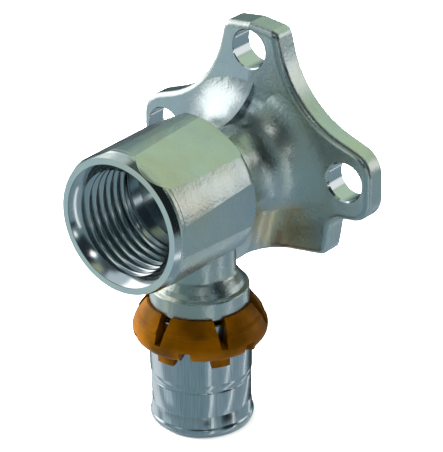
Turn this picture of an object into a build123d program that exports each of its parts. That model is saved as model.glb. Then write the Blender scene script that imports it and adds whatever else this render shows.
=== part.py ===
from build123d import *
import math
import os

# Wall plate elbow: a threaded socket on a three-lug wall plate, with a press joint for pipe below.
# Millimetres. X to the right, Y into the wall, Z up. The origin is where the socket's axis meets
# the wall. The socket opens towards -Y and the pipe joint points along -Z.

# Socket thread, 1/2 inch parallel pipe thread; the bore is at its major radius
THREAD_MAJOR_R = 10.48
THREAD_MINOR_R = 9.32
THREAD_LENGTH = 14.0
ENTRY_LENGTH = 2.4
ENTRY_WIDENING = 0.27
RELIEF_LENGTH = 1.8

# Socket barrel: a turned mouth, then a forged barrel with six shallow flats
SOCKET_REACH = 40.5
MOUTH_RIM_IN_R = 11.05
MOUTH_RIM_WIDTH = 1.13
TURNED_SLOPE_DEG = 18.0
BARREL_REAR_R = 13.25
BARREL_DRAFT_DEG = 1.0
BARREL_REAR_GAP = 19.2
BARREL_REAR_ROUND = 1.6
SIDE_FLAT_DEPTH = 0.6
SLOPED_FLAT_DEPTH = 1.0
SLOPED_FLAT_DEG = 61.0

# Hub between the barrel and the wall plate
HUB_R = 8.3
HUB_FLARE_R = 5.0
BARREL_BLEND_R = 1.0
WEB_FLARE_R = 9.0
WEB_TOP = 13.3
WEB_SIDE_BOTTOM = 6.0
WEB_KEEL_BOTTOM = 9.0
GROOVE_LEFT_FOOT_X = 0.1
GROOVE_LEFT_HEAD_X = 1.6
GROOVE_RIGHT_X = 4.2
GROOVE_FOOT_Z = 8.0
GROOVE_CORNER_R = 2.6
KEEL_BLEND_R = 3.0
KEEL_INSET = 0.7
KEEL_BOTTOM_HALF = 2.6

# Wall plate seen from the front: its right half, which is mirrored
PLATE_THICK = 5.0
DRAFT_DEG = 2.0
HOLE_REACH = 20.0
HOLE_R = 3.5
HOLE_CHAMFER = 0.25
TOP_LUG_MARGIN = 4.8
TOP_LUG_HALF = 5.6
TOP_LUG_DROP = 0.7
TOP_LUG_CORNER_R = 1.7
SWEEP_INSET = 11.0
SWEEP_DROP = 9.5
SWEEP_R = 19.0
SIDE_LUG_MARGIN = 5.0
SIDE_LUG_TOP = 4.75
SIDE_LUG_BOTTOM = 6.9
SIDE_LUG_TOP_R = 5.0
SIDE_LUG_BOTTOM_R = 4.2
SKIRT_ROOT_INSET = 2.7
SKIRT_ROOT_Z = 7.6
SKIRT_ROOT_R = 2.8
SKIRT_INSET = 4.1
SKIRT_DEPTH = 17.3
SKIRT_RISE = 1.9
SKIRT_CORNER_R = 2.0
PLATE_FRONT_ROUND = 1.2
PLATE_BACK_ROUND = 0.4

# Neck and collar, on the pipe's vertical axis
PIPE_AXIS_GAP = 19.57
NECK_R = 6.5
COLLAR_R = 8.8
COLLAR_DROP = 22.4
COLLAR_HEIGHT = 3.8
CONE_HEIGHT = 2.4
COLLAR_EDGE = 0.35
LEDGE_R = 8.0
LEDGE_RISE = 0.9
NECK_FOOT_R = 1.2

# Ribbed spigot for a 16 mm pipe with a 2 mm wall
PIPE_R = 8.0
PIPE_WALL = 2.0
SPIGOT_CLEARANCE = 0.05
SPIGOT_LENGTH = 21.9
SPIGOT_TIP = 0.8
ROOT_EXTRA = 0.45
ROOT_LENGTH = 1.8
WATER_R = 4.1
RIB_DEPTH = 0.4
RIB_PITCH = 1.9
RIB_DEPTHS = (3.2, 5.1, 7.0, 12.9)
O_RING_DEPTHS = (10.9, 16.6)
O_RING_SECTION = 1.4
O_RING_SEAT_DEPTH = 1.0
O_RING_CLEARANCE = 0.05
GROOVE_PLAY = 0.2

# Water chamber between the thread and the vertical bore
CHAMBER_R = 5.6
CHAMBER_BACK = 0.3
DRILL_TIP_DEG = 118.0

# Press sleeve
SLEEVE_CLEARANCE = 0.2
SLEEVE_WALL = 0.87
SLEEVE_LENGTH = 22.0
SLEEVE_SHOULDER = 11.7
SLEEVE_STEP_LENGTH = 1.7
SLEEVE_STEP = 0.28
SLEEVE_FLARE_START = 18.0
SLEEVE_FLARE = 0.12
SLEEVE_BEAD_R = 1.05

# Stop ring
RING_WEB = 0.8
RING_CLIP_GAP = 0.05
RING_COLLAR_GAP = 0.12
RING_SLEEVE_GAP = 0.05
RING_LIP_HEIGHT = 0.5
RING_LIP_WIDTH = 0.4
RING_CROWN_R = 10.75
RING_CROWN_DROP = 1.6
RING_BAND_R = 11.6
RING_BAND_DROP = 3.3
RING_RIM_R = 11.88
RING_RIM_DROP = 5.2
RING_UNDER_R = 11.2
RING_UNDER_DROP = 6.3
RING_INNER_DROP = 6.9
TOOTH_COUNT = 6
TOOTH_DROP = 1.6
TOOTH_THICK = 0.73
TOOTH_ARC_DEG = 20.0
SLOT_TOP_WIDTH = 2.3
SLOT_LOW_WIDTH = 1.2
SLOT_DROP = 4.1
SLOT_IN_R = 7.8
NOTCH_WIDTH = 2.0
NOTCH_HEIGHT = 2.4
NOTCH_IN_R = 9.0
NOTCH_TURN_DEG = 25.5

# Values worked out from the sizes above
TOP_LUG_HEIGHT = HOLE_REACH + TOP_LUG_MARGIN
SKIRT_HALF = HOLE_REACH - SKIRT_INSET
SIDE_LUG_REACH = HOLE_REACH + SIDE_LUG_MARGIN
MOUTH_Y = -SOCKET_REACH
THREAD_FRONT_Y = MOUTH_Y + ENTRY_LENGTH
THREAD_BACK_Y = THREAD_FRONT_Y + THREAD_LENGTH
FLOOR_Y = THREAD_BACK_Y + RELIEF_LENGTH
BARREL_REAR_Y = -BARREL_REAR_GAP
PIPE_AXIS_Y = -PIPE_AXIS_GAP
COLLAR_Z = -COLLAR_DROP
COLLAR_TOP_Z = COLLAR_Z + COLLAR_HEIGHT
NECK_Z = COLLAR_TOP_Z + CONE_HEIGHT
SPIGOT_R = PIPE_R - PIPE_WALL - SPIGOT_CLEARANCE
ROOT_R = SPIGOT_R + ROOT_EXTRA
SPIGOT_TIP_Z = COLLAR_Z - SPIGOT_LENGTH
O_RING_SEAT_R = SPIGOT_R - O_RING_SEAT_DEPTH
SLEEVE_TOP_Z = COLLAR_Z - RING_WEB
SLEEVE_IN_R = PIPE_R + SLEEVE_CLEARANCE
SLEEVE_R = SLEEVE_IN_R + SLEEVE_WALL
RING_IN_R = SLEEVE_R + RING_SLEEVE_GAP
RING_UNDER_Z = COLLAR_Z - RING_INNER_DROP
FAR = 100.0
TINY = 0.01

SOCKET_AXIS = Axis((0, 0, 0), (0, 1, 0))
PIPE_AXIS = Axis((0, PIPE_AXIS_Y, 0), (0, 0, 1))
PIPE_PLANE = Plane.XZ.offset(PIPE_AXIS_GAP)


def turned_on_socket(*lines):
    """Solid turned about the socket's axis; the lines give radius as x, and y."""
    return revolve(make_face(lines), SOCKET_AXIS)


def turned_on_pipe(*lines):
    """Solid turned about the pipe's axis; the lines give radius as x, and z."""
    return revolve(PIPE_PLANE * make_face(lines), PIPE_AXIS)


def right_half(solid):
    """The part of a solid with x above zero."""
    return solid & Pos(FAR / 2, 0, 0) * Box(FAR, 2 * FAR, 2 * FAR)


def inside_corners(solid, keep):
    """Concave edges off the parting plane whose centre passes the test."""
    edges = [edge for edge in solid.edges() if edge.center().X > TINY and keep(edge.center())]
    return [edge for edge in edges if edge.is_interior]


def plate_outline():
    """Three lugs and the lower skirt, with straight flanks and round corners."""
    right = [
        ((TOP_LUG_HALF, TOP_LUG_HEIGHT - TOP_LUG_DROP), TOP_LUG_CORNER_R),
        ((HOLE_REACH - SWEEP_INSET, HOLE_REACH - SWEEP_DROP), SWEEP_R),
        ((SIDE_LUG_REACH, SIDE_LUG_TOP), SIDE_LUG_TOP_R),
        ((SIDE_LUG_REACH, -SIDE_LUG_BOTTOM), SIDE_LUG_BOTTOM_R),
        ((HOLE_REACH - SKIRT_ROOT_INSET, -SKIRT_ROOT_Z), SKIRT_ROOT_R),
        ((SKIRT_HALF, SKIRT_RISE - SKIRT_DEPTH), SKIRT_CORNER_R),
    ]
    left = [((-x, z), radius) for (x, z), radius in reversed(right)]
    corners = [((0, TOP_LUG_HEIGHT), 0)] + right + [((0, -SKIRT_DEPTH), 0)] + left
    points = [point for point, radius in corners]
    radii = [radius for point, radius in corners]
    return Plane.XZ * make_face(FilletPolyline(*points, radius=radii, close=True))


def half_plate():
    """Right half of the wall plate; its front slopes back from the parting plane."""
    span = SIDE_LUG_REACH + PLATE_THICK
    edge_y = span * math.tan(math.radians(DRAFT_DEG)) - PLATE_THICK
    section = Polyline((0, 0), (span, 0), (span, edge_y), (0, -PLATE_THICK), close=True)
    wedge = extrude(Plane.XY.offset(-SKIRT_DEPTH) * make_face(section), SKIRT_DEPTH + TOP_LUG_HEIGHT)
    return extrude(plate_outline(), PLATE_THICK) & wedge


def half_hub_and_keel():
    """Right half of the round hub, with the keel below it cut to the plate's outline."""
    depth = BARREL_REAR_GAP + BARREL_REAR_ROUND
    hub = right_half(extrude(Plane.XZ * Circle(HUB_R), depth))
    top = (HUB_R - KEEL_INSET, 0)
    bottom = (KEEL_BOTTOM_HALF, -SKIRT_DEPTH)
    section = Plane.XZ * make_face(Polyline((0, 0), top, bottom, (0, -SKIRT_DEPTH), close=True))
    keel = extrude(section, depth) & extrude(plate_outline(), depth)
    return hub + keel


def web_outlines():
    """Corners and corner radii of both webs from the front; a narrow groove parts them at the top."""
    lug_x = HOLE_REACH - HOLE_R - HOLE_CHAMFER
    right = [
        ((0, GROOVE_FOOT_Z), 0),
        ((GROOVE_RIGHT_X, GROOVE_FOOT_Z), 0),
        ((GROOVE_RIGHT_X, WEB_TOP), GROOVE_CORNER_R),
        ((lug_x, WEB_TOP), 0),
        ((lug_x, -WEB_SIDE_BOTTOM), 0),
        ((0, -WEB_KEEL_BOTTOM), 0),
    ]
    left = [
        ((GROOVE_LEFT_FOOT_X, GROOVE_FOOT_Z), 0),
        ((GROOVE_LEFT_HEAD_X, HUB_R + WEB_FLARE_R), 0),
        ((-lug_x, HUB_R + WEB_FLARE_R), 0),
        ((-lug_x, -WEB_SIDE_BOTTOM), 0),
        ((0, -WEB_KEEL_BOTTOM), 0),
    ]
    return right, left


def side_webs():
    """Wide flares from the hub to both side lugs, inside the plate's rounded rim."""
    slope = math.radians(DRAFT_DEG)
    foot_r = HUB_R + WEB_FLARE_R * (1 - math.sin(slope))
    foot_y = foot_r * math.tan(slope) - PLATE_THICK
    start_y = foot_y - WEB_FLARE_R * math.cos(slope)
    middle_r = HUB_R + WEB_FLARE_R * (1 - math.cos(math.pi / 4))
    middle_y = start_y + WEB_FLARE_R * math.sin(math.pi / 4)
    curve = ThreePointArc((foot_r, foot_y), (middle_r, middle_y), (HUB_R, start_y))
    inside = Polyline((HUB_R, start_y), (0, start_y), (0, -TINY), (foot_r, -TINY), (foot_r, foot_y))
    flare = turned_on_socket(curve, inside) & extrude(offset(plate_outline(), -PLATE_FRONT_ROUND), -start_y)
    webs = []
    for corners in web_outlines():
        points = [point for point, radius in corners]
        radii = [radius for point, radius in corners]
        mask = Plane.XZ * make_face(FilletPolyline(*points, radius=radii, close=True))
        webs.append(flare & extrude(mask, -start_y))
    return webs


def barrel():
    """Turned mouth and flatted barrel, with a round shoulder at the rear."""
    rim_r = MOUTH_RIM_IN_R + MOUTH_RIM_WIDTH
    band_slope = math.tan(math.radians(TURNED_SLOPE_DEG))
    draft_slope = math.tan(math.radians(BARREL_DRAFT_DEG))
    shoulder_y = BARREL_REAR_Y - BARREL_REAR_ROUND
    inner_r = BARREL_REAR_R - BARREL_REAR_ROUND
    barrel_length = shoulder_y - MOUTH_Y
    band_length = (BARREL_REAR_R - draft_slope * barrel_length - rim_r) / (band_slope - draft_slope)
    front = Polyline(
        (0, BARREL_REAR_Y),
        (0, MOUTH_Y),
        (rim_r, MOUTH_Y),
        (rim_r + band_slope * band_length, MOUTH_Y + band_length),
        (BARREL_REAR_R, shoulder_y),
    )
    shoulder = RadiusArc((BARREL_REAR_R, shoulder_y), (inner_r, BARREL_REAR_Y), -BARREL_REAR_ROUND)
    turned = turned_on_socket(front, shoulder, Line((inner_r, BARREL_REAR_Y), (0, BARREL_REAR_Y)))
    flats = Box(2 * (BARREL_REAR_R - SIDE_FLAT_DEPTH), FAR, FAR)
    for turn in (SLOPED_FLAT_DEG, -SLOPED_FLAT_DEG):
        flats &= Rot(0, turn, 0) * Box(2 * (BARREL_REAR_R - SLOPED_FLAT_DEPTH), FAR, FAR)
    return turned & flats


def neck_and_collar():
    """Round neck that widens over a soft ledge to the collar."""
    ledge_z = COLLAR_TOP_Z + LEDGE_RISE
    corners = [
        ((0, 0), 0),
        ((NECK_R, 0), 0),
        ((NECK_R, NECK_Z), NECK_FOOT_R),
        ((LEDGE_R - COLLAR_EDGE, ledge_z), COLLAR_EDGE),
        ((LEDGE_R, COLLAR_TOP_Z), COLLAR_EDGE),
        ((COLLAR_R, COLLAR_TOP_Z - COLLAR_EDGE), COLLAR_EDGE),
        ((COLLAR_R, COLLAR_Z), COLLAR_EDGE),
        ((0, COLLAR_Z), 0),
    ]
    points = [point for point, radius in corners]
    radii = [radius for point, radius in corners]
    return turned_on_pipe(FilletPolyline(*points, radius=radii, close=True))


def follows_outline(edge, outline):
    """True for an edge whose middle stands over the plate's outline."""
    middle = edge @ 0.5
    return outline.distance_to(Vertex(middle.X, 0, middle.Z)) < TINY


def rounded_rim(half):
    """Half plate with its front rim and its back rim rounded, off the parting plane."""
    outline = plate_outline().face().outer_wire()
    edges = [edge for edge in half.edges() if edge.center().X > TINY and follows_outline(edge, outline)]
    front = [edge for edge in edges if -PLATE_THICK - TINY < edge.center().Y < -PLATE_THICK / 2]
    half = fillet(front, PLATE_FRONT_ROUND)
    edges = [edge for edge in half.edges() if edge.center().X > TINY and follows_outline(edge, outline)]
    back = [edge for edge in edges if abs(edge.center().Y) < TINY]
    return fillet(back, PLATE_BACK_ROUND)


def forging():
    """The outer form above the spigot: one half with its blends, its mirror image and the webs."""
    half = half_plate() + half_hub_and_keel()
    crease = inside_corners(half, lambda at: at.Y < -PLATE_THICK)
    half = fillet(crease, KEEL_BLEND_R)
    foot = inside_corners(half, lambda at: at.Y > -PLATE_THICK - TINY and math.hypot(at.X, at.Z) < SKIRT_HALF)
    half = rounded_rim(fillet(foot, HUB_FLARE_R))
    half = half + right_half(barrel()) + right_half(neck_and_collar())
    rear = BARREL_REAR_Y + TINY
    joints = inside_corners(half, lambda at: at.Y < rear and NECK_Z < at.Z and at.X < HUB_R)
    half = fillet(joints, BARREL_BLEND_R)
    return half + mirror(half, Plane.YZ) + side_webs()


def spigot():
    """Ribbed spigot with two seal grooves, below the collar."""
    tip_z = SPIGOT_TIP_Z
    root_z = COLLAR_Z - ROOT_LENGTH
    outline = [(0, COLLAR_Z), (ROOT_R, COLLAR_Z), (ROOT_R, root_z), (SPIGOT_R, root_z)]
    cuts = [(depth, "rib") for depth in RIB_DEPTHS] + [(depth, "groove") for depth in O_RING_DEPTHS]
    for depth, kind in sorted(cuts):
        z = COLLAR_Z - depth
        if kind == "rib":
            outline += [(SPIGOT_R, z), (SPIGOT_R - RIB_DEPTH, z), (SPIGOT_R, z - RIB_PITCH + TINY)]
        else:
            half = O_RING_SECTION / 2 + GROOVE_PLAY
            outline += [(SPIGOT_R, z + half), (O_RING_SEAT_R, z + half)]
            outline += [(O_RING_SEAT_R, z - half), (SPIGOT_R, z - half)]
    outline += [(SPIGOT_R, tip_z + SPIGOT_TIP), (SPIGOT_R - SPIGOT_TIP / 2, tip_z), (0, tip_z)]
    return turned_on_pipe(Polyline(*outline, close=True))


def socket_bore():
    """Entry, thread bore, relief and the water chamber behind them."""
    entry_r = THREAD_MAJOR_R + ENTRY_WIDENING
    chamber_y = PIPE_AXIS_Y + WATER_R - CHAMBER_BACK
    tip = CHAMBER_R / math.tan(math.radians(DRILL_TIP_DEG / 2))
    outline = Polyline(
        (0, MOUTH_Y),
        (MOUTH_RIM_IN_R, MOUTH_Y),
        (entry_r, THREAD_FRONT_Y),
        (THREAD_MAJOR_R, THREAD_FRONT_Y),
        (THREAD_MAJOR_R, THREAD_BACK_Y),
        (THREAD_MINOR_R, THREAD_BACK_Y),
        (THREAD_MINOR_R, FLOOR_Y),
        (CHAMBER_R, FLOOR_Y),
        (CHAMBER_R, chamber_y),
        (0, chamber_y + tip),
        close=True,
    )
    return turned_on_socket(outline)


def water_bore():
    """Vertical bore from the spigot's tip up into the chamber."""
    outline = Polyline((0, 0), (WATER_R, 0), (WATER_R, SPIGOT_TIP_Z), (0, SPIGOT_TIP_Z), close=True)
    return turned_on_pipe(outline)


def fixing_hole(x, z):
    """Screw hole through a lug, with both rims eased."""
    front_y = abs(x) * math.tan(math.radians(DRAFT_DEG)) - PLATE_THICK
    wide_r = HOLE_R + HOLE_CHAMFER
    outline = Polyline(
        (0, 0),
        (wide_r, 0),
        (HOLE_R, -HOLE_CHAMFER),
        (HOLE_R, front_y + HOLE_CHAMFER),
        (wide_r + HOLE_CHAMFER, front_y - HOLE_CHAMFER),
        (0, front_y - HOLE_CHAMFER),
        close=True,
    )
    return Pos(x, 0, z) * turned_on_socket(outline)


def elbow_body():
    """One forging with its spigot, then the turned bores and the drilled holes."""
    body = forging() + spigot() - socket_bore() - water_bore()
    for x, z in ((0, HOLE_REACH), (HOLE_REACH, 0), (-HOLE_REACH, 0)):
        body -= fixing_hole(x, z)
    return body


def ring_blank():
    """Turned ring: web under the collar, lip round it, domed crown, rim band and skirt."""
    collar_side_r = COLLAR_R + RING_COLLAR_GAP
    lip = (collar_side_r + RING_LIP_WIDTH, COLLAR_Z + RING_LIP_HEIGHT)
    crown = (RING_CROWN_R, COLLAR_Z - RING_CROWN_DROP)
    band = (RING_BAND_R, COLLAR_Z - RING_BAND_DROP)
    rim = (RING_RIM_R, COLLAR_Z - RING_RIM_DROP)
    under = (RING_UNDER_R, COLLAR_Z - RING_UNDER_DROP)
    tooth_r = RING_IN_R + TOOTH_THICK
    clip_r = ROOT_R + RING_CLIP_GAP
    dome = ThreePointArc(lip, crown, band)
    edge = ThreePointArc(band, rim, under)
    inside = Polyline(
        under,
        (tooth_r, RING_UNDER_Z),
        (tooth_r, RING_UNDER_Z - TOOTH_DROP),
        (RING_IN_R, RING_UNDER_Z - TOOTH_DROP),
        (RING_IN_R, SLEEVE_TOP_Z),
        (clip_r, SLEEVE_TOP_Z),
        (clip_r, COLLAR_Z),
        (collar_side_r, COLLAR_Z),
        (collar_side_r, lip[1]),
        lip,
    )
    return turned_on_pipe(dome, edge, inside)


def tooth_gap():
    """Wedge that clears the skirt between two teeth, towards the front."""
    half_turn = math.radians(180 / TOOTH_COUNT - TOOTH_ARC_DEG / 2)
    side = RING_RIM_R * math.tan(half_turn)
    face = make_face(Polyline((0, 0), (side, -RING_RIM_R), (-side, -RING_RIM_R), close=True))
    return extrude(Plane.XY.offset(RING_UNDER_Z) * face, -2 * TOOTH_DROP)


def cutter(low_z, low_width, high_z, high_width, inner_r):
    """Tapered block that cuts the ring from inner_r outwards, towards the front."""
    half_low = low_width / 2
    half_high = high_width / 2
    outline = Polyline((-half_low, low_z), (half_low, low_z), (half_high, high_z), (-half_high, high_z), close=True)
    return extrude(Plane.XZ.offset(inner_r) * make_face(outline), RING_RIM_R)


def stop_ring():
    """Amber plastic ring with slots in its crown, notches in its rim and teeth below."""
    ring = ring_blank()
    slot_top_z = COLLAR_Z + 2 * RING_LIP_HEIGHT
    slot = cutter(COLLAR_Z - SLOT_DROP, SLOT_LOW_WIDTH, slot_top_z, SLOT_TOP_WIDTH, SLOT_IN_R)
    low_z = RING_UNDER_Z - TOOTH_DROP
    notch = cutter(low_z, NOTCH_WIDTH, RING_UNDER_Z + NOTCH_HEIGHT, NOTCH_WIDTH, NOTCH_IN_R)
    step = 360 / TOOTH_COUNT
    for number in range(TOOTH_COUNT):
        on_axis = Pos(0, PIPE_AXIS_Y, 0) * Rot(0, 0, step * number)
        ring -= on_axis * Rot(0, 0, step / 2) * tooth_gap()
        ring -= on_axis * slot
        ring -= on_axis * Rot(0, 0, NOTCH_TURN_DEG) * notch
    return ring


def press_sleeve():
    """Thin steel sleeve with a slight step, a slight flare and a rolled lower edge."""
    waist_r = SLEEVE_R - SLEEVE_STEP
    flare_r = waist_r + SLEEVE_FLARE
    shoulder_z = SLEEVE_TOP_Z - SLEEVE_SHOULDER
    bead_z = SLEEVE_TOP_Z - SLEEVE_LENGTH + SLEEVE_BEAD_R
    bead_top_z = bead_z + math.sqrt(SLEEVE_BEAD_R**2 - (flare_r - SLEEVE_IN_R) ** 2)
    bead_end = (SLEEVE_IN_R, bead_z - SLEEVE_BEAD_R)
    wall = Polyline(
        bead_end,
        (SLEEVE_IN_R, SLEEVE_TOP_Z),
        (SLEEVE_R, SLEEVE_TOP_Z),
        (SLEEVE_R, shoulder_z),
        (waist_r, shoulder_z - SLEEVE_STEP_LENGTH),
        (waist_r, SLEEVE_TOP_Z - SLEEVE_FLARE_START),
        (flare_r, bead_top_z),
    )
    bead = ThreePointArc((flare_r, bead_top_z), (SLEEVE_IN_R + SLEEVE_BEAD_R, bead_z), bead_end)
    return turned_on_pipe(wall, bead)


def o_ring(depth):
    """Round rubber ring in its groove, depth below the collar."""
    middle_r = O_RING_SEAT_R + O_RING_CLEARANCE + O_RING_SECTION / 2
    return Pos(0, PIPE_AXIS_Y, COLLAR_Z - depth) * Torus(middle_r, O_RING_SECTION / 2)


if __name__ == "__main__":
    os.makedirs("parts", exist_ok=True)
    export_step(elbow_body(), "parts/elbow_body.step")
    export_step(stop_ring(), "parts/stop_ring.step")
    export_step(press_sleeve(), "parts/press_sleeve.step")
    for name, depth in zip(("o_ring_upper", "o_ring_lower"), O_RING_DEPTHS):
        export_step(o_ring(depth), f"parts/{name}.step")
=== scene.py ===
import math

import bpy
from mathutils import Matrix, Vector


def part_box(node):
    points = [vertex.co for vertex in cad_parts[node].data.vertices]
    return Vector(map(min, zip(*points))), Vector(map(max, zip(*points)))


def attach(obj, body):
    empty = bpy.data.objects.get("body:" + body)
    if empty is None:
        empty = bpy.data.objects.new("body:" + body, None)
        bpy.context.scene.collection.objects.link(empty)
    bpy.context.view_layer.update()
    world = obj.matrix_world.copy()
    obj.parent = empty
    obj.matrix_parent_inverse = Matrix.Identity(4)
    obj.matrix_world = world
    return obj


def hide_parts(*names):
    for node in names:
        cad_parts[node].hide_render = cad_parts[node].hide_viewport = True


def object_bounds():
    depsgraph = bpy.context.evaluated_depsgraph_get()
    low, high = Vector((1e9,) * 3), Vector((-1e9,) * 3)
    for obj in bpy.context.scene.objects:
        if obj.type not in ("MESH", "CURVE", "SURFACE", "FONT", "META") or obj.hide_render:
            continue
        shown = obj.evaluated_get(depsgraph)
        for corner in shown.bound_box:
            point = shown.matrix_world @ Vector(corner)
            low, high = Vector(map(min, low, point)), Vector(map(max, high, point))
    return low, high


bl_info = {
    "name": "Wall plate elbow looks",
    "version": (1, 0, 0),
    "blender": (4, 5, 0),
    "location": "View3D > Sidebar > Elbow",
    "description": "Dresses the packed solids of a wall plate elbow with its thread, sleeve and materials",
    "category": "Object",
}

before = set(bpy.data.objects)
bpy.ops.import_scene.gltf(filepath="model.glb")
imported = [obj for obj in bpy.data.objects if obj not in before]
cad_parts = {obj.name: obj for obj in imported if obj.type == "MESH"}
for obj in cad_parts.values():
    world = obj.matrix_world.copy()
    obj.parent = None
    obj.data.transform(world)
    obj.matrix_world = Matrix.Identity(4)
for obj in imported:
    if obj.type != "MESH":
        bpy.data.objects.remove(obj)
CAD_LOW, CAD_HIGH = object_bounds()
MM = 0.001

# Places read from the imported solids, in metres
BODY_LOW, BODY_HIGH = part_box("elbow_body")
SLEEVE_LOW, SLEEVE_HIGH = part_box("press_sleeve")
RING_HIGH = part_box("stop_ring")[1]
PIPE_Y = (SLEEVE_LOW.y + SLEEVE_HIGH.y) / 2
MOUTH_Y = BODY_LOW.y
BEAD_R = (SLEEVE_HIGH.x - SLEEVE_LOW.x) / 2

# Middle of the keel's right side, where a painted reflection of the amber ring is laid on as a warm tint
RING_REFLECTION_SPOT = (7.7 * MM, -5.0 * MM, -11.4 * MM)

# How far the thread and its countersink reach into the bore's wall
LET_IN = 0.12 * MM

# Place and aim of each lamp and the side of its square, in metres, and the setting that holds its power
LAMPS = {
    "fill": ((0, 0, 1.2), (0, 0, 0), 2.4, "fill_power"),
    "left_key": ((-1.1, -0.2, 0.35), (0, 0, -0.04), 0.6, "key_power"),
}

# Tone of the studio where it has no panel
STUDIO_SHADE = "#788D90"

# Soft panels round the object: azimuth from the socket's front towards +X, elevation, half width, half
# height and edge softness in degrees, then colour and strength. A later panel lies over an earlier one
PANELS = {
    "lower": (0, -60, 180, 55, 9, "#AFC9D5", 0.6),
    "front_low": (25, -38, 44, 30, 8, "#7C959E", 1.0),
    "zenith": (0, 90, 180, 32, 12, "#7C8C94", 0.32),
    "front_dark": (38, 32, 24, 18, 5, "#34424A", 0.5),
    "low_dark": (50, -5, 8, 4, 2, "#34424A", 0.6),
    "high_cream": (8, 50, 11, 8, 4, "#C4CAA8", 0.7),
    "groove_card": (-16, 24, 9, 9, 4, "#F2FFFC", 1.0),
    "back_wall": (178, 42, 38, 24, 14, "#CCE2C8", 0.98),
    "right_back": (137, 13, 15, 14, 3, "#FFFFFF", 1.15),
    "right_dark": (101, 28, 19, 40, 6, "#20282C", 0.8),
    "left": (-84, 20, 32, 26, 6, "#FFFFFF", 1.9),
    "left_high": (-76, 53, 58, 12, 6, "#DCEAF0", 0.85),
    "left_low": (-96, -34, 22, 24, 8, "#EEF6FA", 0.95),
    "left_back_low": (-152, -14, 26, 24, 6, "#3E4E56", 0.7),
    "above_camera": (42, 47, 6, 5, 3, "#FFFFFF", 2.4),
    "window": (46, 8, 3, 3.5, 1.2, "#FFFFFF", 1.7),
    "plate_card": (-46, -24, 13, 14, 3, "#BCD0D6", 1.05),
    "strip_1": (61.5, -30, 1.6, 34, 1, "#FFFFFF", 1.9),
    "strip_2": (111, -30, 1.6, 34, 1, "#FFFFFF", 1.9),
    "strip_3": (168, -30, 1.6, 34, 1, "#FFFFFF", 1.9),
}


def linear(hex_colour):
    """An sRGB hex colour as linear red, green, blue and alpha."""
    values = [int(hex_colour[i : i + 2], 16) / 255 for i in (1, 3, 5)]
    return tuple(v / 12.92 if v <= 0.04045 else ((v + 0.055) / 1.055) ** 2.4 for v in values) + (1.0,)


def set_inputs(tree, node, **inputs):
    """Sets or joins a node's inputs by name, or by number as in n0."""
    for name, value in inputs.items():
        key = int(name[1:]) if name[0] == "n" and name[1:].isdigit() else name.replace("_", " ")
        if isinstance(value, bpy.types.NodeSocket):
            tree.links.new(value, node.inputs[key])
        else:
            node.inputs[key].default_value = value


def add_node(tree, kind, settings=None, **inputs):
    """Adds a node with its settings and its inputs."""
    node = tree.nodes.new(kind)
    for name, value in (settings or {}).items():
        setattr(node, name, value)
    set_inputs(tree, node, **inputs)
    return node


def numbered(values):
    """Values as a node's inputs by number."""
    return {f"n{number}": value for number, value in enumerate(values)}


def maths(tree, operation, *values):
    """The result of one Math node."""
    return add_node(tree, "ShaderNodeMath", {"operation": operation}, **numbered(values)).outputs["Value"]


def vector_maths(tree, operation, *values):
    """The outputs of one Vector Math node, whose result is in Vector or in Value."""
    return add_node(tree, "ShaderNodeVectorMath", {"operation": operation}, **numbered(values)).outputs


def own_place(tree):
    """The place in the object's own frame, in metres."""
    return add_node(tree, "ShaderNodeTexCoord").outputs["Object"]


def noise(tree, place, size, **inputs):
    """A noise pattern with features about as wide as the size."""
    return add_node(tree, "ShaderNodeTexNoise", Vector=place, Scale=1 / size, **inputs).outputs["Fac"]


def remap(tree, value, settings=None, **inputs):
    """A value carried from one range to another."""
    return add_node(tree, "ShaderNodeMapRange", settings, Value=value, **inputs).outputs["Result"]


def soft_mask(tree, value, outer, inner):
    """A mask that is 0 at the outer limit and past it, and rises softly to 1 at the inner limit."""
    return remap(tree, value, {"interpolation_type": "SMOOTHSTEP"}, From_Min=outer, From_Max=inner)


def bump(tree, height, depth, strength=1.0, **inputs):
    """The normal of a skin that follows a pattern of heights, with its depth in metres."""
    node = add_node(tree, "ShaderNodeBump", Strength=strength, Distance=depth, Height=height, **inputs)
    return node.outputs["Normal"]


def colour_ramp(tree, factor, *stops):
    """A ramp through two or more stops, each a position and an sRGB hex colour."""
    node = add_node(tree, "ShaderNodeValToRGB", Fac=factor)
    elements = node.color_ramp.elements
    for number, (position, hex_colour) in enumerate(stops):
        element = elements[number] if number < 2 else elements.new(position)
        element.position = position
        element.color = linear(hex_colour)
    return node.outputs["Color"]


def mix_colours(tree, factor, first, second):
    """Two colours mixed. Inputs 6 and 7 and output 2 of the node are its colour sockets."""
    node = add_node(tree, "ShaderNodeMix", {"data_type": "RGBA"}, Factor=factor, n6=first, n7=second)
    return node.outputs[2]


def new_material(name):
    """A material whose node tree holds only a Principled shader and the output that it feeds."""
    material = bpy.data.materials.new(name)
    material.use_nodes = True
    tree = material.node_tree
    tree.nodes.clear()
    shader = add_node(tree, "ShaderNodeBsdfPrincipled")
    add_node(tree, "ShaderNodeOutputMaterial", Surface=shader.outputs["BSDF"])
    return material, tree, shader


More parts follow.
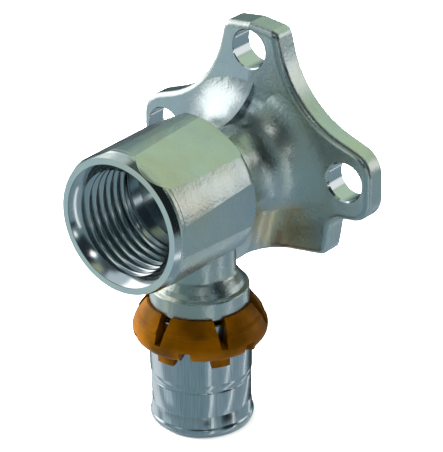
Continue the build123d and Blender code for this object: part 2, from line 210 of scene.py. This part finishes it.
def plated_forging(look):
    """Hot forged brass under a tin and nickel plating.

    A grainy skin with soft waves, silver with a faint green, and a warm painted reflection of the amber
    ring on the keel.
    """
    material, tree, shader = new_material("plated_forged_brass")
    place = own_place(tree)
    # The shot blast grain is near 0.1 mm on the real skin, drawn coarser so that it shows
    grain = noise(tree, place, look.grain_size, Detail=1.5, Roughness=0.45)
    waves = noise(tree, place, look.wave_size, Detail=1.0)
    cloud = noise(tree, place, look.cloud_size, Detail=3.0)
    patch = noise(tree, place, look.patch_size, Detail=2.0, Distortion=0.6)

    # The lathe took the first millimetre behind the mouth, and the shot blasted skin starts after it
    depth = add_node(tree, "ShaderNodeSeparateXYZ", Vector=place).outputs["Y"]
    skin_y, blend = MOUTH_Y + look.turned_edge, 0.05 * MM
    skin = remap(tree, depth, From_Min=skin_y - blend, From_Max=skin_y + blend)
    blasted = remap(tree, patch, From_Min=0.35, From_Max=0.65, To_Min=0.27, To_Max=0.31)
    rough = remap(tree, skin, To_Min=look.turned_roughness, To_Max=blasted)
    patchiness = remap(tree, patch, From_Min=0.3, From_Max=0.7, To_Min=0.5, To_Max=1.0)
    wavy = bump(tree, waves, look.wave_depth, skin)
    grainy = bump(tree, grain, look.grain_depth, maths(tree, "MULTIPLY", patchiness, skin), Normal=wavy)

    # Painted reflection: a warm, patchy tint on the keel stands in for the amber ring mirrored there, full
    # in the inner share of its reach
    inner_share = 0.4
    distance = vector_maths(tree, "DISTANCE", place, RING_REFLECTION_SPOT)["Value"]
    reflection_mask = soft_mask(tree, distance, look.ring_reflection_reach, inner_share * look.ring_reflection_reach)
    silver = colour_ramp(tree, cloud, (0.38, "#C2CCCF"), (0.56, "#CCD4CD"), (0.8, "#CECBBA"))
    tone = mix_colours(tree, maths(tree, "MULTIPLY", reflection_mask, patchiness), silver, linear(look.ring_reflection_hex))
    set_inputs(tree, shader, Base_Color=tone, Metallic=1.0, Roughness=rough, Normal=grainy)
    return material


def plated_turning(look):
    """Turned brass under the same plating: smooth and mirror-like, with faint rings from the tool."""
    material, tree, shader = new_material("plated_turned_brass")
    place = own_place(tree)
    parts = add_node(tree, "ShaderNodeSeparateXYZ", Vector=place)
    flat = add_node(tree, "ShaderNodeCombineXYZ", X=parts.outputs["X"], Y=parts.outputs["Z"])
    radius = vector_maths(tree, "LENGTH", flat.outputs["Vector"])["Value"]
    # The rings follow the tool along a bore and across a face, closer together across a face
    radius_weight = 2.2
    path = maths(tree, "ADD", maths(tree, "MULTIPLY", radius, radius_weight), parts.outputs["Y"])
    # The tool's feed is about 0.1 mm a turn, drawn coarser so that it shows
    rings = add_node(
        tree, "ShaderNodeTexNoise", {"noise_dimensions": "1D"}, W=path, Scale=1 / look.feed, Detail=2.0
    )
    set_inputs(
        tree,
        shader,
        Base_Color=linear(look.turned_hex),
        Metallic=1.0,
        Roughness=look.turned_roughness,
        Normal=bump(tree, rings.outputs["Fac"], look.feed_depth),
    )
    return material


def drawn_stainless(look):
    """Deep drawn stainless steel, lightly satin, with fine lines along the draw."""
    material, tree, shader = new_material("drawn_stainless_steel")
    place = own_place(tree)
    stretch = (1.0, 1.0, look.line_width / look.line_length)
    drawn = add_node(tree, "ShaderNodeMapping", Vector=place, Scale=stretch).outputs["Vector"]
    # Draw lines are near 0.05 mm wide, drawn coarser so that they show
    lines = noise(tree, drawn, look.line_width, Detail=2.0)
    tone = colour_ramp(tree, lines, (0.35, "#C0C9CD"), (0.68, "#D2D9DD"))
    normal = bump(tree, lines, look.line_depth)
    set_inputs(tree, shader, Base_Color=tone, Metallic=1.0, Roughness=0.19, Normal=normal)
    return material


def amber_plastic(look):
    """Injection moulded clear amber plastic: deep brown in soft clouds of deeper and lighter tone, with a
    soft warm gloss.
    """
    material, tree, shader = new_material("moulded_amber_plastic")
    place = own_place(tree)
    cloud = noise(tree, place, look.cloud_size, Detail=2.0)
    set_inputs(
        tree,
        shader,
        Base_Color=colour_ramp(tree, cloud, (0.35, look.deep_hex), (0.7, look.light_hex)),
        Roughness=0.34,
        IOR=1.53,
        Specular_IOR_Level=0.06,
        Specular_Tint=linear("#FFC468"),
    )
    return material


def seal_rubber(look):
    """Moulded EPDM rubber: matt black with a faint sheen."""
    material, tree, shader = new_material("moulded_seal_rubber")
    place = own_place(tree)
    grain = noise(tree, place, look.grain_size, Detail=2.0)
    rough = remap(tree, grain, From_Min=0.3, From_Max=0.7, To_Min=0.5, To_Max=0.65)
    set_inputs(tree, shader, Base_Color=linear("#161616"), Roughness=rough)
    return material


def length_setting(name, about, default_mm):
    """A length, with its default in millimetres, which the panel shows in the scene's own unit."""
    return bpy.props.FloatProperty(
        name=name, description=about, default=default_mm * MM, unit="LENGTH", subtype="DISTANCE"
    )


def colour_setting(name, about, default):
    """A colour as an sRGB hex code."""
    return bpy.props.StringProperty(name=name, description=about, default=default)


class WPE_StageLook(bpy.types.PropertyGroup):
    """Light and floor of the studio."""

    fill_power: bpy.props.FloatProperty(
        name="Fill light", description="Power of the broad light overhead", default=62.0, unit="POWER"
    )
    key_power: bpy.props.FloatProperty(
        name="Key light", description="Power of the soft light on the left", default=95.0, unit="POWER"
    )
    floor_gap: length_setting("Floor gap", "Air between the sleeve's lower edge and the floor", 0.2)


class WPE_BodyLook(bpy.types.PropertyGroup):
    """Skin and thread of the plated body."""

    grain_size: length_setting("Grain size", "Width of one grain of the forged skin", 0.5)
    grain_depth: length_setting("Grain depth", "Height of the grains of the forged skin", 0.055)
    patch_size: length_setting("Patch size", "Width of the smoother and rougher patches of the skin", 3.2)
    cloud_size: length_setting("Cloud size", "Width of the soft changes of tone in the skin", 13.2)
    # Reach and colour of the painted reflection of the amber ring on the keel
    ring_reflection_reach: length_setting("Painted ring reflection", "Reach of the painted reflection of the amber ring on the keel", 8)
    ring_reflection_hex: colour_setting("Painted reflection colour", "sRGB colour of the painted reflection of the amber ring", "#EFD5A8")
    turned_edge: length_setting("Turned edge", "Width of the turned edge round the socket's mouth", 1.3)
    turned_roughness: bpy.props.FloatProperty(
        name="Turned roughness", description="Roughness of the turned faces", default=0.14, subtype="FACTOR"
    )
    wave_size: length_setting("Wave size", "Width of the soft waves of the forged skin", 2.2)
    wave_depth: length_setting("Wave depth", "Height of the soft waves of the forged skin", 0.07)
    feed: length_setting("Tool feed", "Distance between two lines left by the turning tool", 0.4)
    feed_depth: length_setting("Tool line depth", "Depth of the lines left by the turning tool", 0.0008)
    turned_hex: colour_setting("Turned colour", "sRGB colour of the turned faces", "#CDD4D6")
    pitch: length_setting("Thread pitch", "Distance between two crests of the socket's thread", 1.814)
    major_r: length_setting("Thread major radius", "Radius of the bore that carries the thread", 10.48)
    minor_r: length_setting("Thread minor radius", "Radius over the thread's crests", 9.32)
    entry: length_setting("Thread entry", "Depth of the countersink that leads into the thread", 1.62)
    length: length_setting("Thread length", "Length of the thread along the socket", 14)


class WPE_SleeveLook(bpy.types.PropertyGroup):
    """Wall and draw lines of the press sleeve."""

    wall: length_setting("Wall", "Thickness of the sleeve's wall", 0.87)
    line_width: length_setting("Line width", "Width of one draw line", 0.24)
    line_length: length_setting("Line length", "Length of one draw line", 5)
    line_depth: length_setting("Line depth", "Depth of one draw line", 0.0003)


class WPE_RingLook(bpy.types.PropertyGroup):
    """Plastic, moulded edges and crown step of the stop ring."""

    cloud_size: length_setting("Cloud size", "Width of the soft changes of tone in the plastic", 5)
    deep_hex: colour_setting("Deep amber", "sRGB colour where it is deep", "#3A2200")
    light_hex: colour_setting("Light amber", "sRGB colour where it is light", "#5B3600")
    edge: length_setting("Edge radius", "Radius of the moulded edges", 0.12)
    step: length_setting("Crown step", "Height of the step round the crown", 0.16)


class WPE_SealLook(bpy.types.PropertyGroup):
    """Skin of the seal rings."""

    grain_size: length_setting("Grain size", "Width of one grain of the rubber's skin", 0.2)


class WPE_OT_stage(bpy.types.Operator):
    """Make the camera, the pale floor, the studio and the soft lamps"""

    bl_idname = "wpe.stage"
    bl_label = "Stage, camera and light"

    def execute(self, context):
        look = context.scene.wpe_stage
        context.scene.view_settings.view_transform = "Standard"
        make_camera()
        make_floor(look)
        make_surroundings()
        for name, (place, aim, side, power) in LAMPS.items():
            soft_light(name, place, aim, side, getattr(look, power))
        return {"FINISHED"}


class WPE_OT_plated_body(bpy.types.Operator):
    """Give the body its forged skin, and its turned and drilled faces a smooth one"""

    bl_idname = "wpe.plated_body"
    bl_label = "Plated body"

    def execute(self, context):
        look = context.scene.wpe_body
        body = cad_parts["elbow_body"]
        give(body, plated_forging(look))
        body.data.materials.append(plated_turning(look))
        for face in body.data.polygons:
            face.material_index = 1 if is_turned(face, look) else 0
        return {"FINISHED"}


class WPE_OT_mouth_edge(bpy.types.Operator):
    """Lay the steep turned edge round the socket's mouth"""

    bl_idname = "wpe.mouth_edge"
    bl_label = "Mouth edge"

    def execute(self, context):
        edge = mouth_edge(context.scene.wpe_body)
        give(edge, bpy.data.materials["plated_forged_brass"])
        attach(edge, "root")
        return {"FINISHED"}


class WPE_OT_socket_thread(bpy.types.Operator):
    """Lay the half inch pipe thread and its countersink into the socket"""

    bl_idname = "wpe.socket_thread"
    bl_label = "Socket thread"

    def execute(self, context):
        look = context.scene.wpe_body
        for piece in (helical_thread(look), socket_entry(look)):
            give(piece, bpy.data.materials["plated_turned_brass"])
            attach(piece, "root")
        return {"FINISHED"}


class WPE_OT_press_sleeve(bpy.types.Operator):
    """Draw the press sleeve with its shoulder, groove and bead"""

    bl_idname = "wpe.press_sleeve"
    bl_label = "Press sleeve"

    def execute(self, context):
        look = context.scene.wpe_sleeve
        sleeve = press_sleeve(look)
        give(sleeve, drawn_stainless(look))
        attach(sleeve, "root")
        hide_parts("press_sleeve")
        return {"FINISHED"}


class WPE_OT_stop_ring(bpy.types.Operator):
    """Give the stop ring its amber plastic, its soft moulded edges and its crown step"""

    bl_idname = "wpe.stop_ring"
    bl_label = "Stop ring"

    def execute(self, context):
        look = context.scene.wpe_ring
        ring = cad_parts["stop_ring"]
        amber = amber_plastic(look)
        give(ring, amber)
        step = crown_step(look)
        give(step, amber)
        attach(step, "root")
        edge = ring.modifiers.new("moulded_edges", "BEVEL")
        edge.width = look.edge
        edge.segments = 2
        edge.limit_method = "ANGLE"
        edge.angle_limit = math.radians(35)
        return {"FINISHED"}


class WPE_OT_seal_rings(bpy.types.Operator):
    """Give both seal rings their rubber"""

    bl_idname = "wpe.seal_rings"
    bl_label = "Seal rings"

    def execute(self, context):
        rubber = seal_rubber(context.scene.wpe_seal)
        for name in ("o_ring_upper", "o_ring_lower"):
            give(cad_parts[name], rubber)
        return {"FINISHED"}


class WPE_PT_panel(bpy.types.Panel):
    """Lists the steps that dress the elbow, and their settings"""

    bl_label = "Wall plate elbow"
    bl_space_type = "VIEW_3D"
    bl_region_type = "UI"
    bl_category = "Elbow"

    def draw(self, context):
        for operator in OPERATORS:
            self.layout.operator(operator.bl_idname)
        for name in LOOKS:
            look = getattr(context.scene, name)
            for key in look.__annotations__:
                self.layout.prop(look, key)


LOOKS = {
    "wpe_stage": WPE_StageLook,
    "wpe_body": WPE_BodyLook,
    "wpe_sleeve": WPE_SleeveLook,
    "wpe_ring": WPE_RingLook,
    "wpe_seal": WPE_SealLook,
}
OPERATORS = (
    WPE_OT_stage,
    WPE_OT_plated_body,
    WPE_OT_mouth_edge,
    WPE_OT_socket_thread,
    WPE_OT_press_sleeve,
    WPE_OT_stop_ring,
    WPE_OT_seal_rings,
)
CLASSES = tuple(LOOKS.values()) + OPERATORS + (WPE_PT_panel,)


def give(piece, material):
    """Puts one material on a piece, in place of any it has."""
    piece.data.materials.clear()
    piece.data.materials.append(material)


def is_turned(face, look):
    """True for the faces of the body that a lathe or a drill made."""
    # How far the turned faces reach past the thread's bore, the water way's radius, and how far below the
    # ring's top the spigot starts
    bore_margin, water_way_r, collar_drop = 0.6 * MM, 4.3 * MM, 0.55 * MM
    # From the plate's side to a hole's middle, the hole's radius, and the place that the holes lie behind
    hole_inset, hole_r, hole_front = 5 * MM, 3.74 * MM, -6 * MM
    x, y, z = face.center
    socket_r = math.hypot(x, z)
    pipe_r = math.hypot(x, y - PIPE_Y)
    in_socket = socket_r < look.major_r + bore_margin and y < PIPE_Y
    in_water_way = pipe_r < water_way_r and socket_r < look.minor_r
    under_collar = z < RING_HIGH.z - collar_drop
    reach = BODY_HIGH.x - hole_inset
    nearest_hole = min(math.hypot(x - a, z - b) for a, b in ((reach, 0), (-reach, 0), (0, reach)))
    drilled = nearest_hole < hole_r and y > hole_front
    return in_socket or in_water_way or under_collar or drilled


def mesh_piece(name, points, faces):
    """A mesh object with smooth shading and sharp corners kept."""
    mesh = bpy.data.meshes.new(name)
    mesh.from_pydata(points, [], faces)
    mesh.validate()
    mesh.shade_smooth()
    mesh.set_sharp_from_angle(angle=math.radians(40))
    piece = bpy.data.objects.new(name, mesh)
    bpy.context.scene.collection.objects.link(piece)
    return piece


def full_turn(steps):
    """The angles of evenly spaced steps round a full turn."""
    return [math.tau * step / steps for step in range(steps)]


def about_socket(radius, angle, y):
    """A point about the socket's axis, with the angle measured from the top towards +X."""
    return radius * math.sin(angle), y, radius * math.cos(angle)


def about_pipe(radius, angle, z):
    """A point about the pipe's axis, with the angle measured from the front towards +X."""
    return radius * math.sin(angle), PIPE_Y - radius * math.cos(angle), z


def swept(sections, is_ring, first=0):
    """Points and faces of a closed section carried along a path, into a ring or with a cap at each end.

    The faces count their points from the number given as first.
    """
    size, count = len(sections[0]), len(sections)
    faces = []
    for place in range(count if is_ring else count - 1):
        here, following = first + place * size, first + (place + 1) % count * size
        for i in range(size):
            j = (i + 1) % size
            faces.append((here + i, here + j, following + j, following + i))
    if not is_ring:
        last = first + (count - 1) * size
        faces.append(tuple(reversed(range(first, first + size))))
        faces.append(tuple(range(last, last + size)))
    return [point for section in sections for point in section], faces


def helical_thread(look):
    """The socket's thread: one ridge with a rounded crest, wound along the bore and let into its wall."""
    steps_a_turn = 120
    pitch, depth = look.pitch, look.major_r - look.minor_r
    # One flank from crest to foot: place along the axis as a share of the pitch, and height as a share of
    # the depth
    flank = ((0.09, 0.95), (0.17, 0.74), (0.36, 0.16), (0.45, 0))
    ridge = tuple((-share, height) for share, height in reversed(flank)) + ((0, 1),) + flank
    half_width = flank[-1][0]
    foot_r, back_r = look.major_r + 0.02 * MM, look.major_r + LET_IN
    # The thread starts behind the countersink. Both its ends fade, the last one to a trace of its height
    lead, fade_turns, trace = 0.35, 0.35, 0.01
    start_y = MOUTH_Y + look.entry + lead * pitch
    turns = (look.length - 2 * half_width * pitch) / pitch
    sections = []
    for step in range(int(turns * steps_a_turn) + 1):
        turn = step / steps_a_turn
        angle = math.tau * turn
        fade = min(1.0, turn / fade_turns, (turns - turn) / fade_turns + trace)
        section = [(share, foot_r - depth * height * fade) for share, height in ridge]
        section += [(half_width, back_r), (-half_width, back_r)]
        sections.append([about_socket(r, angle, start_y + pitch * (turn + share)) for share, r in section])
    return mesh_piece("socket_thread_ridge", *swept(sections, is_ring=False))


def mouth_edge(look):
    """The turned cone round the mouth, run out into the barrel's corners and flats."""
    steps = 360
    rim_r, inner_r, corner_r = 12.16 * MM, 12.0 * MM, 12.89 * MM
    rim_depth, inner_depth, seam, back = 0.03 * MM, 0.1 * MM, 0.02 * MM, 4.6 * MM
    draft, cone = math.tan(math.radians(1)), math.tan(math.radians(18))
    cone_r = rim_r + look.turned_edge * cone
    # Direction in degrees from the barrel's right side, and distance from its axis, of each pair of flats
    flats = ((0, 12.63 * MM), (61, 12.23 * MM), (-61, 12.23 * MM))
    # The least cosine keeps the distance to a flat finite along its own direction, and the slope leads from
    # the cone back to a flat that lies inside it
    least_cosine, run_out_slope = 0.1, 7.5
    sections = []
    for angle in full_turn(steps):
        across = ((abs(math.cos(angle - math.radians(turn))), reach) for turn, reach in flats)
        flat_r = min(reach / max(cosine, least_cosine) for cosine, reach in across)
        front_r = min(flat_r, corner_r)
        run_out = front_r - cone_r if front_r > cone_r else run_out_slope * (cone_r - front_r)
        section = (
            (rim_r, rim_depth),
            (cone_r, look.turned_edge),
            (front_r, look.turned_edge + seam + run_out),
            (min(flat_r, corner_r + draft * back), back),
            (inner_r, back),
            (inner_r, inner_depth),
        )
        x, z = math.cos(angle), math.sin(angle)
        sections.append([(radius * x, MOUTH_Y + depth, radius * z) for radius, depth in section])
    return mesh_piece("mouth_edge_turned", *swept(sections, is_ring=True))


def socket_entry(look):
    """The countersink between the socket's mouth and the thread's first turn."""
    steps = 160
    wide_r, narrow_r = look.major_r + 0.5 * MM, look.minor_r + 0.12 * MM
    back_r = look.major_r + LET_IN
    front_y, inner_y = MOUTH_Y + 0.08 * MM, MOUTH_Y + look.entry
    # The broken corner at the cone's end, the land behind it, and the lip at the mouth
    corner, land, lip = 0.05 * MM, 0.1 * MM, 0.1 * MM
    # Where the ring's back starts behind the mouth, and where it ends behind the cone
    back_start, back_end = 1.0 * MM, 0.9 * MM
    # Radius and place along the socket's axis, round the ring's section
    profile = (
        (wide_r, front_y),
        (narrow_r + corner, inner_y - corner),
        (narrow_r, inner_y + land),
        (look.major_r, inner_y + back_end),
        (back_r, inner_y + back_end),
        (back_r, front_y + back_start),
        (wide_r + lip, front_y + lip),
    )
    sections = [[about_socket(radius, angle, y) for radius, y in profile] for angle in full_turn(steps)]
    return mesh_piece("socket_entry_countersink", *swept(sections, is_ring=True))


def crown_step(look):
    """A low step round the stop ring's crown, broken by its six slots."""
    slots, steps = 6, 40
    # Degrees from one slot's middle to the next, and from a slot's middle to the step's end
    spacing, slot_half = 360 / slots, 4.7
    # Drop below the ring's top and height over the dome, in millimetres, round the step's section
    height = look.step / MM
    section = ((2.0, -0.1), (2.16, height), (2.7, height), (2.92, 0.0), (2.8, -0.15))
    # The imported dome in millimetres: radius at the top, slope, and a bulge that is nil at the shoulder
    top_r, slope, bulge, shoulder = 9.32, 0.681, 0.0476, 2.1
    outline = [
        ((top_r + slope * drop - bulge * drop * (drop - shoulder) + over) * MM, RING_HIGH.z - drop * MM)
        for drop, over in section
    ]
    points, faces = [], []
    for slot in range(slots):
        sections = []
        for step in range(steps + 1):
            angle = math.radians(spacing * slot + slot_half + (spacing - 2 * slot_half) * step / steps)
            sections.append([about_pipe(radius, angle, z) for radius, z in outline])
        more_points, more_faces = swept(sections, is_ring=False, first=len(points))
        points += more_points
        faces += more_faces
    return mesh_piece("stop_ring_crown_step", points, faces)


def sleeve_profile(look):
    """Wall of the sleeve as radius and height: shoulder, groove, waist, flare and rolled lower edge."""
    top, low = SLEEVE_HIGH.z, SLEEVE_LOW.z
    bead_half, bead_steps = 1.05 * MM, 12
    inner = BEAD_R - bead_half
    outer = inner + look.wall
    bead_z = low + bead_half
    # Inset from the shoulder's face and drop below the top edge, in millimetres, down the outside
    shoulder = ((0.1, 0), (0, 0.1), (0, 11.55))
    upper_line = ((0.05, 11.65), (0.05, 11.75), (0.01, 11.85))
    groove = ((0.12, 12.6), (0.32, 13.1), (0.33, 13.25), (0.22, 13.42), (0.2, 13.5))
    waist_and_line = ((0.2, 17.9), (0.25, 18.0), (0.25, 18.1), (0.19, 18.2))
    outside = shoulder + upper_line + groove + waist_and_line
    profile = [(outer - inset * MM, top - drop * MM) for inset, drop in outside]
    # The flare meets the bead this far inside the shoulder's face and above the bead's middle
    flare_inset, flare_rise = 0.08 * MM, 0.8 * MM
    profile.append((outer - flare_inset, bead_z + flare_rise))
    start = math.asin(flare_rise / bead_half)
    for step in range(1, bead_steps + 1):
        angle = start - (start + math.pi / 2) * step / bead_steps
        profile.append((inner + bead_half * math.cos(angle), bead_z + bead_half * math.sin(angle)))
    edge = 0.1 * MM
    return profile + [(inner, low + edge), (inner, top - edge), (inner + edge, top)]


def press_sleeve(look):
    """The sleeve's wall turned about the pipe's axis."""
    steps = 192
    profile = sleeve_profile(look)
    sections = [[about_pipe(radius, angle, z) for radius, z in profile] for angle in full_turn(steps)]
    return mesh_piece("press_sleeve_drawn", *swept(sections, is_ring=True))


def make_camera():
    """Camera at the photograph's viewing angle."""
    azimuth, elevation, roll = (math.radians(angle) for angle in (38.879, 26.162, -1.009))
    target, distance = Vector((1.491, -15, -9.429)) * MM, 0.45
    level = math.cos(elevation)
    back = Vector((math.sin(azimuth) * level, -math.cos(azimuth) * level, math.sin(elevation)))
    right = Vector((math.cos(azimuth), math.sin(azimuth), 0))
    up = back.cross(right)
    turned_right = right * math.cos(roll) + up * math.sin(roll)
    turned_up = up * math.cos(roll) - right * math.sin(roll)
    data = bpy.data.cameras.new("camera")
    data.sensor_width = 36
    data.lens = 206.14
    data.clip_start = 0.01
    data.clip_end = 20
    camera = bpy.data.objects.new("camera", data)
    place = Matrix((turned_right, turned_up, back)).transposed().to_4x4()
    place.translation = target + back * distance
    camera.matrix_world = place
    bpy.context.scene.collection.objects.link(camera)
    bpy.context.scene.camera = camera


def make_floor(look):
    """Plain pale floor under the object. Gloss sees the studio below it instead of the floor."""
    half_side = 0.55
    floor_z = CAD_LOW.z - look.floor_gap
    corners = [(half_side * x, half_side * y, floor_z) for x, y in ((-1, -1), (1, -1), (1, 1), (-1, 1))]
    floor = mesh_piece("floor", corners, [(0, 1, 2, 3)])
    floor.visible_glossy = False
    material, tree, shader = new_material("pale_card")
    set_inputs(tree, shader, Base_Color=linear("#F6F6F6"), Roughness=1.0, Specular_IOR_Level=0.0)
    give(floor, material)


def soft_light(name, place, aim, side, power):
    """One square soft light, which gloss doesn't show."""
    data = bpy.data.lights.new(name, "AREA")
    data.shape = "RECTANGLE"
    data.size = side
    data.size_y = side
    data.energy = power
    lamp = bpy.data.objects.new(name, data)
    lamp.location = Vector(place)
    lamp.rotation_mode = "QUATERNION"
    lamp.rotation_quaternion = (Vector(aim) - Vector(place)).to_track_quat("-Z", "Y")
    lamp.visible_glossy = False
    bpy.context.scene.collection.objects.link(lamp)


def make_surroundings():
    """A dim soft studio with broad pale panels, which the metal mirrors. The camera sees plain white."""
    world = bpy.data.worlds.new("studio")
    bpy.context.scene.world = world
    world.use_nodes = True
    tree = world.node_tree
    tree.nodes.clear()
    way = add_node(tree, "ShaderNodeTexCoord").outputs["Generated"]
    level = vector_maths(tree, "MULTIPLY", way, (1, 1, 0))["Vector"]
    level = vector_maths(tree, "NORMALIZE", level)["Vector"]
    rise = maths(tree, "ARCSINE", add_node(tree, "ShaderNodeSeparateXYZ", Vector=way).outputs["Z"])
    shade = add_node(tree, "ShaderNodeRGB").outputs["Color"]
    shade.default_value = linear(STUDIO_SHADE)
    for azimuth, elevation, half_width, half_height, softness, hex_colour, strength in PANELS.values():
        turn = math.radians(azimuth)
        middle = (math.sin(turn), -math.cos(turn), 0)
        aside = maths(tree, "ARCCOSINE", vector_maths(tree, "DOT_PRODUCT", level, middle)["Value"])
        above = maths(tree, "ABSOLUTE", maths(tree, "SUBTRACT", rise, math.radians(elevation)))
        masks = [
            soft_mask(tree, off, math.radians(half + softness), math.radians(half - softness))
            for off, half in ((aside, half_width), (above, half_height))
        ]
        tint = tuple(strength * value for value in linear(hex_colour)[:3]) + (1.0,)
        shade = mix_colours(tree, maths(tree, "MULTIPLY", *masks), shade, tint)
    is_seen = add_node(tree, "ShaderNodeLightPath").outputs["Is Camera Ray"]
    backdrop = mix_colours(tree, is_seen, shade, linear("#FFFFFF"))
    background = add_node(tree, "ShaderNodeBackground", Color=backdrop).outputs["Background"]
    add_node(tree, "ShaderNodeOutputWorld", Surface=background)


def register():
    for cls in CLASSES:
        bpy.utils.register_class(cls)
    for name, look in LOOKS.items():
        setattr(bpy.types.Scene, name, bpy.props.PointerProperty(type=look))


def unregister():
    for name in LOOKS:
        delattr(bpy.types.Scene, name)
    for cls in reversed(CLASSES):
        bpy.utils.unregister_class(cls)


def main():
    register()
    bpy.ops.wpe.stage()
    bpy.ops.wpe.plated_body()
    bpy.ops.wpe.mouth_edge()
    bpy.ops.wpe.socket_thread()
    bpy.ops.wpe.press_sleeve()
    bpy.ops.wpe.stop_ring()
    bpy.ops.wpe.seal_rings()


if __name__ == "__main__":
    main()
